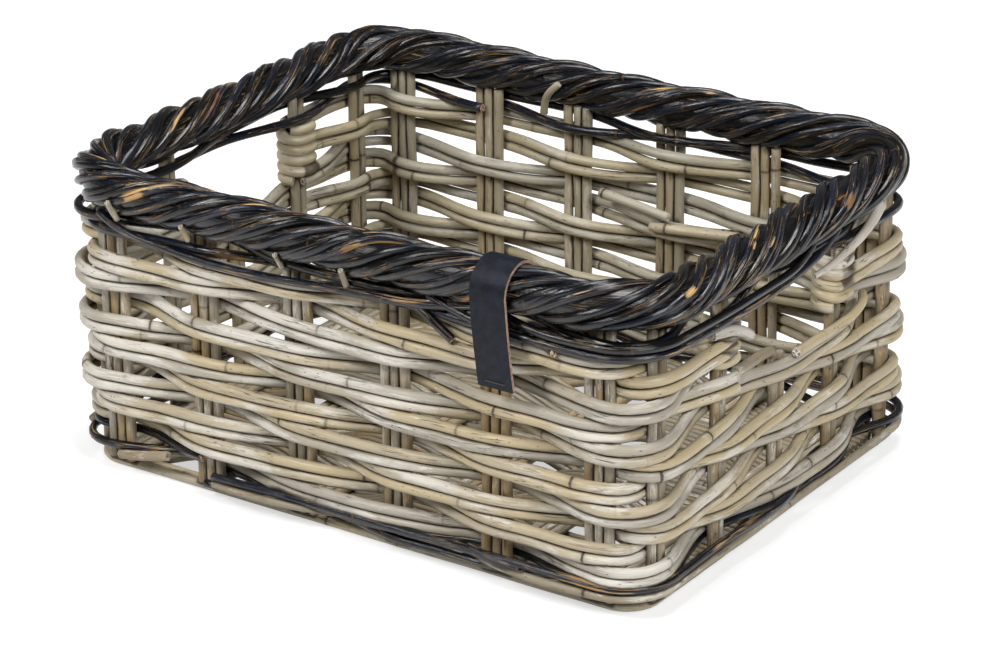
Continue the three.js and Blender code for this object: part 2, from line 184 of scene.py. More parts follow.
def bent(xs, ys, at):
    """A springy rod's line through the knots: a natural cubic spline."""
    xs, ys = np.asarray(xs, float), np.asarray(ys, float)
    step, rise = np.diff(xs), np.diff(ys, axis=0)
    system, want = np.eye(len(xs)), np.zeros(ys.shape)
    for i in range(1, len(xs) - 1):
        system[i, i - 1:i + 2] = step[i - 1], 2 * (step[i - 1] + step[i]), step[i]
        want[i] = 6 * (rise[i] / step[i] - rise[i - 1] / step[i - 1])
    curve = np.linalg.solve(system, want)
    i = np.clip(np.searchsorted(xs, at) - 1, 0, len(step) - 1)
    t = (at - xs[i]) / step[i]
    u, width = 1 - t, step[i]
    if ys.ndim > 1:
        t, u, width = t[:, None], u[:, None], width[:, None]
    return u * ys[i] + t * ys[i + 1] + width ** 2 / 6 * ((u ** 3 - u) * curve[i] + (t ** 3 - t) * curve[i + 1])


def wander(rng, reach, wavelength):
    """A smooth random swing about zero, as a function of distance."""
    waves = [(tau / wavelength * rng.uniform(0.6, 1.7), rng.uniform(0, tau)) for _ in range(3)]
    return lambda s: reach / 2 * sum(np.sin(s * rate + phase) for rate, phase in waves)


def lengths(path):
    """The distances along a path."""
    return np.append(0, np.cumsum(np.linalg.norm(np.diff(path, axis=0), axis=1)))


def tangents(path):
    along = np.gradient(path, axis=0)
    return along / np.linalg.norm(along, axis=1)[:, None]


def line_of(x, y, z):
    return np.stack(np.broadcast_arrays(x, y, z), axis=1)


class Loop:
    """A rounded rectangle about a centre, walked anticlockwise from the middle of its front side."""

    def __init__(self, half_length, half_width, radius, centre_y):
        self.half_length, self.half_width = half_length, half_width
        self.radius, self.centre_y = radius, centre_y
        self.straights = [2 * (half_length - radius), 2 * (half_width - radius)] * 2
        self.bend = pi / 2 * radius
        self.length = sum(self.straights) + 4 * self.bend

    def at(self, distance, push, height):
        """Points at distances along the loop, pushed outwards, at heights."""
        distance, push, height = np.broadcast_arrays(distance, push, height)
        rest = np.mod(distance + self.straights[0] / 2, self.length)
        points = np.zeros(rest.shape + (3,))
        corner = np.array([-self.straights[0] / 2, -self.half_width])
        done = np.zeros(rest.shape, bool)
        for side, straight in enumerate(self.straights):
            heading = side * pi / 2
            along = np.array([cos(heading), sin(heading)])
            outward = np.array([along[1], -along[0]])
            on_straight = ~done & (rest <= straight)
            flat = corner + rest[..., None] * along + push[..., None] * outward
            points[on_straight, :2] = flat[on_straight]
            end = corner + straight * along
            centre = end - outward * self.radius
            turned = heading - pi / 2 + (rest - straight) / self.radius
            round_out = np.stack([np.cos(turned), np.sin(turned)], axis=-1)
            on_bend = ~done & ~on_straight & (rest <= straight + self.bend)
            curved = centre + (self.radius + push[..., None]) * round_out
            points[on_bend, :2] = curved[on_bend]
            done |= on_straight | on_bend
            corner = centre + along * self.radius
            rest = rest - straight - self.bend
        points[..., 1] += self.centre_y
        points[..., 2] = height
        return points


def middle(node):
    low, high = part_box(node)
    return (low + high) / 2


# The wall line goes through the middles of the stakes.
wall_centre = (middle("stake_front_1").y + middle("stake_back_1").y) / 2
wall = Loop(middle("stake_right_2").x, middle("stake_back_1").y - wall_centre, WALL_CORNER, wall_centre)
rim_low, rim_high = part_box("rim_border")
RIM_RADIUS = (rim_high.z - rim_low.z) / 2
rim_height = (rim_high.z + rim_low.z) / 2
rim = Loop(rim_high.x - RIM_RADIUS, (rim_high.y - rim_low.y) / 2 - RIM_RADIUS, RIM_CORNER, wall_centre)

# Stake groups, counted round the basket from 1, the front wall's left one, and their places along the wall.
stakes = []
for side, (name, count, rods) in enumerate([("front", 6, 3), ("right", 5, 2), ("back", 6, 3), ("left", 5, 2)]):
    for number in range(1, count + 1):
        node = f"stake_{name}_{number}"
        place = middle(node)
        along = [place.x, place.y - wall_centre, -place.x, wall_centre - place.y][side]
        low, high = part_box(node)
        stakes.append({
            "node": node, "side": side, "rods": rods, "bottom": low.z, "top": high.z,
            "place": side * wall.length / 4 + along,
        })
STAKES = len(stakes)

# The short groups under the handle holes, and the group behind which the rounds end.
RIGHT_HOLE = 9
LEFT_HOLE = RIGHT_HOLE + STAKES // 2
LAST_STAKE = LAPS * STAKES + RIGHT_HOLE - 1


def stake_at(count):
    """The stake group of a count that goes on lap after lap."""
    return stakes[(count - 1) % STAKES]


def place_of(count):
    return stake_at(count)["place"] + (count - 1) // STAKES * wall.length


# Heights of the first and last round, and their climb along the wall.
first_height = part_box("weaver_round_1")[0].z + CAD_PAIR / 2
last_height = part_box("weaver_round_8")[1].z - CAD_PAIR / 2
climb = (last_height - first_height) / (place_of(LAST_STAKE) - place_of(FIRST_STAKE))


def round_height(s):
    return first_height + climb * (s - place_of(FIRST_STAKE))


# Painted shade where rods touch: every rod's points, tangents and radii, and the meshes that get it, with their
# points and those points' rods. The painted shade ends the depth set below from the next rod.
rod_lines = []
contact_shaded = []
SHADE_REACH = 8 * MM
SHADE_DEPTH = 2.2 * MM
SHADE_BESIDE = 0.6 * ROD_STEP


def frames(path):
    """The directions along a path and across it, twice, that turn as little as they can."""
    tangent = tangents(path)
    normal = np.cross(tangent[0], [0.3, 0.2, 1])
    normals = []
    for here in tangent:
        normal = normal - here * (normal @ here)
        normal /= np.linalg.norm(normal)
        normals.append(normal)
    normals = np.array(normals)
    return tangent, normals, np.cross(tangent, normals)


def linked(name, data):
    """A new object in the scene."""
    made = bpy.data.objects.new(name, data)
    bpy.context.scene.collection.objects.link(made)
    return made


def aimed(name, data, place, way, roll=0.0):
    """A lamp or camera at a place, looking a way."""
    made = linked(name, data)
    made.location = place
    made.rotation_mode = "QUATERNION"
    made.rotation_quaternion = way.to_track_quat("-Z", "Y") @ Quaternion((0, 0, 1), roll)
    return made


class Piece:
    """Makes tubes and other patches one mesh, with the values that its material reads.

    rod_co is the place across and along the rod, tone its own shade, ring the distance from a cane ring, and cut
    is 1 on a cut end.
    """

    def __init__(self):
        self.points, self.faces, self.flat, self.owners = [], [], [], []
        self.values = {"rod_co": [], "tone": [], "ring": [], "cut": []}
        self.count = 0

    def patch(self, points, faces, flat, **values):
        """Adds points and faces. A value may be one number for all the points."""
        self.points.append(points)
        self.faces += [[i + self.count for i in face] for face in faces]
        self.flat += flat
        for key, value in values.items():
            self.values[key].append(np.broadcast_to(value, (len(points),) + np.shape(value)[1:]))
        self.count += len(points)

    def tube(self, path, radius, rng, tone=None, rings=0.17, sides=ROD_SIDES, cuts=True):
        """A rod along a path, with cane rings now and then."""
        along = lengths(path)
        tangent, normals, across = frames(path)

        ring_gap = rings * rng.uniform(0.7, 1.4) if rings else FAR
        offset = along + rng.uniform(0, ring_gap)
        ring = np.mod(offset, ring_gap) - ring_gap / 2
        swell = 1 + RING_SWELL * np.exp(-(ring / RING_WIDTH) ** 2)
        swell = swell + wander(rng, *UNEVEN)(along)
        radii = np.broadcast_to(radius, along.shape) * swell
        angle = np.arange(sides)[:, None] * tau / sides
        spokes = np.cos(angle) * normals[:, None] + np.sin(angle) * across[:, None]
        points = path[:, None] + radii[:, None, None] * spokes
        rod_co = np.zeros((len(path), sides, 3))
        rod_co[..., :2] = np.hstack([np.cos(angle), np.sin(angle)]) * np.mean(radius)
        rod_co[..., 2] = (along + rng.uniform(-50, 50))[:, None]
        rod_co = rod_co.reshape(-1, 3)
        tone = rng.random() if tone is None else tone
        around = [(j, (j + 1) % sides) for j in range(sides)]
        rows = range(0, (len(path) - 1) * sides, sides)
        faces = [[row + j, row + k, row + sides + k, row + sides + j] for row in rows for j, k in around]
        flat = [False] * len(faces)
        all_points = [points.reshape(-1, 3)]
        base = len(path) * sides
        for end, sign in ((0, -1), (len(path) - 1, 1)):
            lip = path[end] + sign * tangent[end] * CUT_LIP + (points[end] - path[end]) * CUT_SHARE
            tip = path[end] + sign * tangent[end] * CUT_DOME
            all_points += [lip, tip[None]]
            for j, k in around:
                bevel = [end * sides + j, base + j, base + k, end * sides + k]
                cap = [base + j, base + sides, base + k]
                faces.append(bevel[::-1] if sign > 0 else bevel)
                faces.append(cap[::-1] if sign > 0 else cap)
                flat += [False, True]
            lip_co = rod_co[end * sides:(end + 1) * sides] * [0.8, 0.8, 1]
            rod_co = np.concatenate([rod_co, lip_co, [[0, 0, lip_co[0, 2]]]])
            base += sides + 1
        on_end = np.arange(base) >= len(path) * sides
        ring = np.append(np.repeat(ring, sides), np.ones(on_end.sum()))
        cut = on_end * float(cuts)
        self.patch(np.concatenate(all_points), faces, flat, rod_co=rod_co, tone=tone, ring=ring, cut=cut)
        self.owners.append(np.full(base, len(rod_lines)))
        rod_lines.append((path, tangent, radii))
        return self

    def make(self, name, material, node=None):
        """Makes the mesh, which stands for a node of the CAD model unless it is a loose rod."""
        mesh = bpy.data.meshes.new(name)
        points = np.concatenate(self.points)
        mesh.from_pydata(points.tolist(), [], self.faces)
        mesh.polygons.foreach_set("use_smooth", [not flat for flat in self.flat])
        for key, chunks in self.values.items():
            values = np.concatenate(chunks).astype(np.float32)
            kind, field = ("FLOAT_VECTOR", "vector") if values.ndim == 2 else ("FLOAT", "value")
            mesh.attributes.new(key, kind, "POINT").data.foreach_set(field, values.ravel())
        mesh.materials.append(material)
        slot = SLOTS[material]
        # Natural and stake rattan get painted shade where rods touch.
        if slot in ("rattan_natural", "rattan_stake"):
            contact_shaded.append((mesh, points, np.concatenate(self.owners)))
        piece = linked(name, mesh)
        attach(piece, "root")
        if node:
            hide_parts(node)


def add_contact_shade():
    """Stores how near each point of a natural rod is to the next rod, 1 where they touch, for painted shade."""
    points, headings, radii = (np.concatenate(parts) for parts in zip(*rod_lines))
    numbers = np.concatenate([np.full(len(line[0]), i) for i, line in enumerate(rod_lines)])
    tree = KDTree(len(points))
    for i, point in enumerate(points):
        tree.insert(point, i)
    tree.balance()
    for mesh, places, owners in contact_shaded:
        pairs = []
        for i, place in enumerate(places):
            pairs += [(i, found[1]) for found in tree.find_range(place, SHADE_REACH)]
        here, there = np.array(pairs).T
        other = owners[here] != numbers[there]
        here, there = here[other], there[other]
        away = places[here] - points[there]
        beside = np.abs((away * headings[there]).sum(axis=1))
        off = np.sqrt(np.maximum((away ** 2).sum(axis=1) - beside ** 2, 0)) - radii[there]
        off = np.where(beside < SHADE_BESIDE + off.clip(0), off, SHADE_REACH)
        gap = np.full(len(places), SHADE_REACH)
        np.minimum.at(gap, here, off)
        contact_shade = np.clip(1 - gap / SHADE_DEPTH, 0, 1).astype(np.float32)
        mesh.attributes.new("contact_shade", "FLOAT", "POINT").data.foreach_set("value", contact_shade)


class Shader:
    """The node tree of a material or world, built with short calls."""

    def __init__(self, name, owners=bpy.data.materials, surface="Principled BSDF"):
        self.owner = owners.new(name)
        self.owner.use_nodes = True
        self.tree = self.owner.node_tree
        self.surface = self.tree.nodes[surface]

    def plug(self, socket, value):
        if isinstance(value, bpy.types.NodeSocket):
            self.tree.links.new(value, socket)
        else:
            socket.default_value = value

    def set(self, node=None, **inputs):
        for key, value in inputs.items():
            self.plug((node or self.surface).inputs[key.replace("_", " ")], value)

    def node(self, kind, settings=None, **inputs):
        made = self.tree.nodes.new(kind)
        for key, value in (settings or {}).items():
            setattr(made, key, value)
        self.set(made, **inputs)
        return made

    def math(self, operation, first, second=0.0):
        made = self.node("ShaderNodeMath", {"operation": operation})
        self.plug(made.inputs[0], first)
        self.plug(made.inputs[1], second)
        return made.outputs[0]

    def times(self, first, second):
        return self.math("MULTIPLY", first, second)

    def plus(self, first, second):
        return self.math("ADD", first, second)

    def less(self, first, second):
        return self.math("SUBTRACT", first, second)

    def vectors(self, operation, first, second=(0.0, 0.0, 0.0)):
        made = self.node("ShaderNodeVectorMath", {"operation": operation})
        self.plug(made.inputs[0], first)
        self.plug(made.inputs[1], second)
        return made.outputs["Value" if operation in ("DOT_PRODUCT", "DISTANCE") else "Vector"]

    def value(self, name):
        return self.node("ShaderNodeAttribute", {"attribute_name": name}).outputs["Fac"]

    def rod(self, across, along):
        """The place on the rod, scaled to so many features a metre."""
        read = self.node("ShaderNodeAttribute", {"attribute_name": "rod_co"})
        return self.vectors("MULTIPLY", read.outputs["Vector"], (across, across, along))

    def place(self):
        return self.node("ShaderNodeTexCoord").outputs["Object"]

    def noise(self, vector, detail=2.0, rough=0.5, distort=0.0):
        values = {"Scale": 1.0, "Detail": detail, "Roughness": rough, "Distortion": distort}
        return self.node("ShaderNodeTexNoise", Vector=vector, **values).outputs["Fac"]

    def grain(self, across, along, *settings):
        """A noise that follows the rod."""
        return self.noise(self.rod(across, along), *settings)

    def spots(self, across, along):
        return self.node("ShaderNodeTexVoronoi", Vector=self.rod(across, along), Scale=1.0).outputs["Distance"]

    def band(self, value, low, high):
        """Goes smoothly from 0 at low to 1 at high."""
        ends = {"Value": value, "From_Min": low, "From_Max": high}
        return self.node("ShaderNodeMapRange", {"interpolation_type": "SMOOTHSTEP"}, **ends).outputs["Result"]

    def line(self, value, inner, outer):
        """Thin lines where a noise crosses its middle."""
        return self.band(self.math("ABSOLUTE", self.less(value, 0.5)), outer, inner)

    def near(self, value, spots, share):
        """The value, raised by a share at each of the spots."""
        for *spot, radius in spots:
            close = self.band(self.vectors("DISTANCE", self.place(), spot), radius, radius * 0.3)
            value = self.plus(value, self.times(close, share))
        return value

    def mix(self, factor, first, second, kind="RGBA"):
        made = self.node("ShaderNodeMix", {"data_type": kind}, Factor=factor, A=first, B=second)
        return made.outputs["Result"]

    def blend(self, factor, first, second):
        """A number between two numbers."""
        return self.mix(factor, first, second, "FLOAT")

    def dye(self, where, share, colour):
        """Mixes a share of a colour into the shader's own."""
        self.colour = self.mix(self.times(where, share), self.colour, colour)

    def tint(self, value, low, high, share, colour):
        """Dyes where the value goes from low to high."""
        self.dye(self.band(value, low, high), share, colour)

    def cut_end(self, brown, pale):
        """Shows the colour, with the spotted pith on the cut ends."""
        pith = self.mix(self.band(self.grain(1400, 400), 0.4, 0.6), brown, pale)
        self.set(Base_Color=self.mix(self.value("cut"), self.colour, pith))

    def bump(self, height, distance, strength=1.0):
        made = self.node("ShaderNodeBump", Height=height, Distance=distance, Strength=strength)
        self.set(Normal=made.outputs["Normal"])


def rgb(red, green, blue):
    """A colour as it shows on screen, turned into the linear one that a socket takes."""
    return tuple((c / 255) ** 2.2 for c in (red, green, blue)) + (1.0,)


# Where the weavers are bleached most: place and radius.
BLEACHED = [
    (-0.15, -0.17, 0.15, 0.075), (-0.07, -0.17, 0.148, 0.06), (0.01, -0.17, 0.13, 0.05),
    (-0.19, -0.17, 0.075, 0.05), (-0.08, -0.17, 0.04, 0.05), (0.215, -0.16, 0.035, 0.06),
]


# A noise or grain has its features a metre across and along the rod, a band the values between which it grows,
# and a dye its share.
def rattan(name, tan, grey, pale, brown, gloss):
    """Weathered rattan, tan to grey, with bleached patches, fibres, stains, cracks, specks, rings and painted
    shade.
    """
    s = Shader(name)
    drift = s.grain(25, 9, 3.0, 0.55)
    warmth = s.plus(s.times(s.value("tone"), 0.55), s.times(drift, 0.75))
    s.colour = s.mix(s.band(warmth, 0.42, 0.86), grey, tan)

    # Sides that face into the basket get painted shade, greyer and darker; bleach and flakes keep to the sunny
    # sides.
    out = s.vectors("NORMALIZE", s.vectors("MULTIPLY", s.place(), (4.7, 6.2, 0.0)))
    facing = s.vectors("DOT_PRODUCT", out, s.node("ShaderNodeNewGeometry").outputs["Normal"])
    inner = s.band(facing, 0.25, -0.5)
    s.dye(inner, 0.45, rgb(158, 154, 134))

    region = s.noise(s.vectors("MULTIPLY", s.place(), (9.0, 9.0, 14.0)))
    bleach = s.plus(s.grain(60, 14, 4.0, 0.6), s.times(s.less(region, 0.5), 0.3))
    bleach = s.near(bleach, BLEACHED, 0.1)
    bleached = s.band(bleach, 0.5, 0.68)
    sunny = s.less(1.0, s.times(inner, 0.6))
    s.dye(s.times(bleached, 0.75), sunny, pale)
    flake = s.plus(s.grain(300, 55, 5.0, 0.75), s.times(s.less(bleach, 0.5), 0.9))
    flaky = s.times(s.band(flake, 0.61, 0.67), sunny)
    s.dye(flaky, 0.7, rgb(228, 222, 210))

    fibre = s.grain(1500, 42, 3.0, 0.6)
    s.tint(fibre, 0.52, 0.72, 0.36, brown)
    s.tint(s.grain(210, 60, 4.0, 0.7), 0.6, 0.76, 0.6, brown)
    rust = s.band(s.grain(420, 17, 3.0, 0.6), 0.61, 0.7)
    rust = s.times(rust, s.band(s.grain(40, 13), 0.54, 0.64))
    s.dye(rust, 0.65, rgb(120, 76, 46))

    where = s.band(s.grain(90, 24), 0.52, 0.62)
    crack = s.times(s.line(s.grain(620, 20, 2.0, 0.5, 0.4), 0.006, 0.02), where)
    dark = rgb(52, 40, 28)
    s.dye(crack, 0.85, dark)
    speck = s.band(s.spots(420, 150), 0.17, 0.09)
    speckled = s.times(speck, s.band(s.grain(140, 30, 1.0), 0.5, 0.58))
    s.dye(speckled, 0.8, dark)

    # Painted shade, dark brown, where rods touch, broken up by a noise.
    patchy = s.plus(0.55, s.times(s.grain(260, 70, 3.0, 0.6), 0.9))
    s.tint(s.times(s.value("contact_shade"), patchy), 0.2, 0.85, 0.9, rgb(56, 43, 30))

    gap = s.math("ABSOLUTE", s.value("ring"))
    ragged = s.times(s.grain(900, 400), 0.0016)
    strong = s.band(s.grain(20, 9, 1.0), 0.38, 0.6)
    ring = s.times(s.band(s.less(gap, ragged), 0.0006, -0.0004), s.plus(0.12, s.times(strong, 0.78)))
    s.dye(s.band(gap, 0.006, 0.0), s.times(strong, 0.3), brown)
    s.dye(ring, 1.0, dark)
    s.cut_end(brown, pale)
    s.set(Roughness=s.blend(s.math("MAXIMUM", s.times(bleached, 0.6), s.value("cut")), gloss, 0.85))
    height = s.less(s.less(s.times(fibre, 0.4), s.times(crack, 0.8)), s.times(ring, 0.6))
    height = s.plus(s.plus(height, s.times(s.grain(300, 120), 0.5)), s.times(flaky, 0.3))
    s.bump(height, 0.0004, 0.65)
    return s.owner


# Where the border is worn through most: place and radius.
WORN = [
    (0.224, -0.176, 0.204, 0.017), (0.232, -0.128, 0.204, 0.01), (0.229, -0.05, 0.209, 0.008),
    (0.231, -0.034, 0.206, 0.009), (0.228, 0.056, 0.204, 0.01), (-0.15, -0.177, 0.202, 0.013),
    (0.02, -0.178, 0.203, 0.012), (-0.232, -0.09, 0.204, 0.012), (0.06, 0.172, 0.208, 0.01),
]


def lacquered(name):
    """Blue-black lacquer over rattan, worn through to tan and orange in streaks."""
    s = Shader(name)
    tone = s.value("tone")
    drift = s.grain(90, 16, 3.0)
    s.colour = s.mix(s.band(s.plus(drift, s.times(tone, 0.3)), 0.5, 0.85), rgb(9, 11, 15), rgb(20, 27, 40))
    # Grey-blue flecks: dust, and partly a painted sheen that lifts the strands' highlights.
    dust_and_sheen = s.band(s.grain(700, 90, 3.0, 0.7), 0.62, 0.78)
    s.dye(dust_and_sheen, 0.3, rgb(96, 99, 104))
    streak = s.grain(520, 20, 3.0, 0.6, 0.3)
    area = s.plus(s.grain(60, 11, 3.0, 0.6), s.times(tone, 0.14))
    area = s.near(area, WORN, 0.24)
    worn = s.band(s.plus(streak, s.times(area, 0.8)), 1.12, 1.2)
    hue = s.band(s.grain(140, 30), 0.35, 0.62)
    s.dye(worn, 1.0, s.mix(hue, rgb(98, 64, 40), rgb(196, 158, 106)))
    line = s.line(s.grain(820, 12, 1.0, 0.5, 0.2), 0.004, 0.013)
    line = s.times(line, s.band(area, 0.44, 0.6))
    s.dye(line, 0.75, rgb(172, 138, 92))
    s.tint(s.math("ABSOLUTE", s.value("ring")), 0.0012, 0.0004, 0.5, rgb(84, 60, 40))
    s.cut_end(rgb(104, 66, 44), rgb(222, 196, 160))
    rough = s.grain(240, 60, 3.0)
    gloss = s.blend(s.band(rough, 0.3, 0.7), 0.1, 0.26)
    dull = s.math("MAXIMUM", s.math("MAXIMUM", worn, s.times(dust_and_sheen, 0.6)), s.value("cut"))
    s.set(Roughness=s.blend(dull, gloss, 0.8))
    height = s.less(s.times(s.grain(1300, 22, 3.0, 0.6), 1.3), worn)
    height = s.plus(s.less(height, s.times(line, 0.7)), s.times(rough, 0.9))
    s.bump(height, 0.0003, 0.7)
    return s.owner


def leather(name):
    """Dark navy leather with a fine grain and a pale cut edge."""
    s = Shader(name)
    grain = s.spots(1500, 1500)
    mottled = s.grain(180, 180, 3.0)
    s.colour = s.mix(s.band(mottled, 0.35, 0.7), rgb(13, 17, 25), rgb(24, 31, 43))
    s.tint(s.grain(900, 900, 3.0, 0.7), 0.68, 0.82, 0.25, rgb(104, 102, 98))
    raw = s.mix(s.band(s.grain(1200, 1200), 0.35, 0.7), rgb(128, 100, 84), rgb(196, 168, 150))
    s.set(Base_Color=s.mix(s.value("cut"), s.colour, raw), Specular_IOR_Level=0.22)
    s.set(Roughness=s.blend(s.value("cut"), 0.4, 0.85))
    s.bump(s.plus(grain, s.times(mottled, 0.8)), 0.00025, 0.6)
    return s.owner


def waxed(name):
    """Dark waxed thread."""
    s = Shader(name)
    s.set(Base_Color=rgb(58, 56, 56), Roughness=0.6)
    s.bump(s.grain(2000, 400), 0.0002)
    return s.owner


PALE, BROWN = rgb(232, 227, 218), rgb(106, 82, 60)
natural = rattan("natural_rattan", rgb(194, 177, 142), rgb(176, 169, 155), PALE, BROWN, 0.38)
# The base strips' rattan, a darker copy of the natural one: painted shade of the basket's floor.
shaded_rattan = rattan("shaded_inside_rattan", rgb(138, 118, 88), rgb(122, 113, 97), rgb(160, 150, 134), rgb(84, 66, 48), 0.5)
bleached = rattan("bleached_rattan", rgb(206, 197, 184), rgb(196, 191, 182), PALE, BROWN, 0.36)
staked = rattan("stake_rattan", rgb(166, 142, 106), rgb(150, 140, 122), rgb(200, 192, 176), rgb(98, 76, 54), 0.5)
black = lacquered("lacquered_rattan")
navy = leather("navy_leather")
thread = waxed("waxed_thread")

# A slot name for each material.
SLOTS = {
    natural: "rattan_natural", shaded_rattan: "rattan_natural", bleached: "rattan_natural", staked: "rattan_stake",
    black: "rattan_dark", navy: "leather", thread: "thread",
}


def turn(count, phase):
    """Where a rod is in its step at a stake: 0 inside it, 1 just come out, 2 about to go in."""
    return (count - phase) % INSIDE_STEP


# Which way a rod goes through the wall after a stake, by its turn there: 1 outwards, -1 inwards.
CROSSING = {0: 1, 2: -1}


def shifts(own, above, below):
    """How a pair shifts at a stake, towards a window, and after it, away from a pair that it crosses."""
    at_stake = SQUEEZE * (int(above == 0) - int(below == 0)) if own else 0
    way, over, under = (CROSSING.get(t, 0) for t in (own, above, below))
    return at_stake, APART * (int(way * under < 0) - int(way * over < 0))


def woven(rng, start, end, turns, rod, height_at, proud=0.0):
    """The path of a rod past the stakes, held proud of them where it is outside.

    turns gives the rod's own turn at a stake and those of the pairs over and under it.
    """
    knots, pushes, lift_knots, lifts = [], [], [], []
    count = -STAKES
    while place_of(count) < start - wall.length / 4:
        count += 1
    while place_of(count - 2) < end:
        place = place_of(count)
        gap = (place + place_of(count + 1)) / 2
        reach = (stake_at(count)["rods"] - 1) / 2 * STAKE_SPACING
        push = STAKE / 2 + PASS_GAP + rod / 2 + rng.uniform(0, PASS_SLACK)
        own, above, below = turns(count)
        if own == 0:
            knots.append(place)
            pushes.append(-push - reach * INSIDE_BEND)
        elif own == 1:
            knots += [place - reach, gap]
            at_corner = rod == WEAVER and stake_at(count)["side"] != stake_at(count + 1)["side"]
            bow = BOW * rng.uniform(0.6, 1.4) + CORNER_BOW * at_corner
            pushes += [push + proud, push + proud + bow]
        else:
            knots.append(place + reach)
            pushes.append(push + proud)
        lift_knots += [place, gap]
        lifts += shifts(own, above, below)
        count += 1
    at = np.linspace(start, end, max(2, round((end - start) / ROD_STEP)))
    return wall.at(at, bent(knots, pushes, at), height_at(at) + smooth(lift_knots, lifts, at))


def add_pair(name, node, seed, start, end, turns, height_at):
    """Two rods woven one above the other."""
    piece, rng = Piece(), Random(seed)
    spread = wander(rng, *PAIR_SWING)
    shared = rng.random()
    for side in (-1, 1):
        own = wander(rng, *WEAVER_SWING)
        radius = WEAVER / 2 * rng.uniform(0.94, 1.02)

        def height(s):
            return height_at(s) + side * (WEAVER / 2 + spread(s)) + own(s)

        piece.tube(woven(Random(shared), start, end, turns, WEAVER, height), radius, rng)
    piece.make(name, natural, node)


# The levels above the rounds: the groups at which they end, and each level's phase, from below.
UPPER = [
    ("front", LEFT_HOLE + 1 - STAKES, RIGHT_HOLE - 1, [2, 0, 1]),
    ("back", RIGHT_HOLE + 1, LEFT_HOLE - 1, [1, 0, 2]),
]


def first_turn_above(count):
    """The turn of the first pair above the rounds at a stake, or none at the holes."""
    number = (count - 1) % STAKES + 1
    for _, first, last, phases in UPPER:
        for here in (number, number - STAKES):
            if first <= here <= last:
                return turn(here, phases[0])
    return None


def round_turns(count):
    above = turn(count + STAKES, FIRST_STAKE) if count + STAKES <= LAST_STAKE else first_turn_above(count)
    below = turn(count - STAKES, FIRST_STAKE) if count - STAKES >= FIRST_STAKE else None
    return turn(count, FIRST_STAKE), above, below


def add_rounds():
    first, number = FIRST_STAKE, 1
    while first < LAST_STAKE:
        last = min(first + STAKES - 1, LAST_STAKE)
        start = place_of(first) + LEVEL_GAP / 2
        end = place_of(last) + (STAKE_SPACING if last == LAST_STAKE else -LEVEL_GAP / 2)
        node = f"weaver_round_{number}"
        add_pair(f"round_{number}_rods", node, 100 + number, start, end, round_turns, round_height)
        first, number = last, number + 1


def add_upper():
    for name, first, last, phases in UPPER:
        for level in range(UPPER_LEVELS):
            node = f"weaver_{name}_{level + 1}"
            height = middle(node).z

            def turns(count):
                above = turn(count, phases[level + 1]) if level + 1 < UPPER_LEVELS else None
                lap = (LAST_STAKE - count) // STAKES * STAKES
                below = turn(count, phases[level - 1]) if level else turn(count + lap, FIRST_STAKE)
                return turn(count, phases[level]), above, below

            start, end = place_of(first) - STAKE_SPACING / 2, place_of(last) + STAKE_SPACING / 2
            rods, seed = f"{name}_level_{level + 1}_rods", f"{name}{level}"
            add_pair(rods, node, seed, start, end, turns, lambda s: height)


def bent_over(place, height, rng):
    """A short stake's rod, which rises to the handle hole and turns over along the wall, towards the front."""
    towards = -1 if place < wall.length / 2 else 1
    knots = np.array([0, 0.5, 0.85, 1.0, 1.25, 1.7, 2.2])
    drift = rng.uniform(-1, 1) * MM
    alongs = np.array([0, 0, 0, 0.6, 7, 28, 50]) * MM * towards
    heights = np.array([0, 0.5, 0.87, 1.0, 1.0, 1.0, 1.0]) * height
    heights[3:] += np.array([-1.5, 5, 6.5, 8]) * MM
    pushes = np.array([0, 0, 0, 0, 0, 1, 2]) * MM + drift * knots / 4
    at = np.linspace(0, knots[-1], 70)
    along, up, push = (bent(knots, values, at) for values in (alongs, heights, pushes))
    return wall.at(place + along, push, up)


def add_stakes():
    for index, stake in enumerate(stakes):
        rng = Random(200 + index)
        piece = Piece()
        under_hole = index + 1 in (RIGHT_HOLE, LEFT_HOLE)
        top = stake["top"] + (0 if under_hole else STAKE_INTO_RIM)
        heights = np.linspace(stake["bottom"], top, 22)
        for i in range(stake["rods"]):
            place = stake["place"] + (i - (stake["rods"] - 1) / 2) * STAKE_SPACING
            lean = rng.uniform(-STAKE_LEAN, STAKE_LEAN) * (heights - heights[0]) / (heights[-1] - heights[0])
            sway = wander(rng, *STAKE_SWAY)(heights)
            depth = wander(rng, *WEAVER_SWING)(heights)
            path = wall.at(place + lean + sway, depth, heights)
            nearest_front = i == (0 if index + 1 == RIGHT_HOLE else 1)
            if under_hole and nearest_front:
                path = bent_over(place, top, rng)
                path[:, 2] = np.maximum(path[:, 2], stake["bottom"])
                path = path[path[:, 2] >= stake["bottom"] + 0.1 * MM]
            piece.tube(path, STAKE / 2 * rng.uniform(0.95, 1.04), rng, rings=0.3)
        piece.make(f"{stake['node']}_rods", staked, stake["node"])


def add_wraps():
    """Turns of rod round the holes' edge stakes."""
    for index, (name, count, turns) in enumerate([
        ("right_front", RIGHT_HOLE - 1, 4), ("right_back", RIGHT_HOLE + 1, 5),
        ("left_back", LEFT_HOLE - 1, 5), ("left_front", LEFT_HOLE + 1, 4),
    ]):
        rng = Random(300 + index)
        node = f"edge_wrap_{name}"
        low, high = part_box(node)
        t = np.linspace(0, 1, turns * 30)
        angle = t * turns * tau + rng.uniform(0, 6)
        reach = STAKE / 2 + WRAP / 2
        stretch = STAKE_SPACING / 2
        along = np.cos(angle) * reach + np.clip(np.cos(angle) * WRAP_FLATNESS, -1, 1) * stretch
        push = np.sin(angle) * (reach + WRAP_GAP)
        height = low.z + WRAP / 2 + t * (high.z - low.z - WRAP) + wander(rng, *WRAP_SWING)(t)
        path = wall.at(stake_at(count)["place"] + along, push, height)
        Piece().tube(path, WRAP / 2, rng, rings=0.12).make(f"{node}_rod", natural, node)


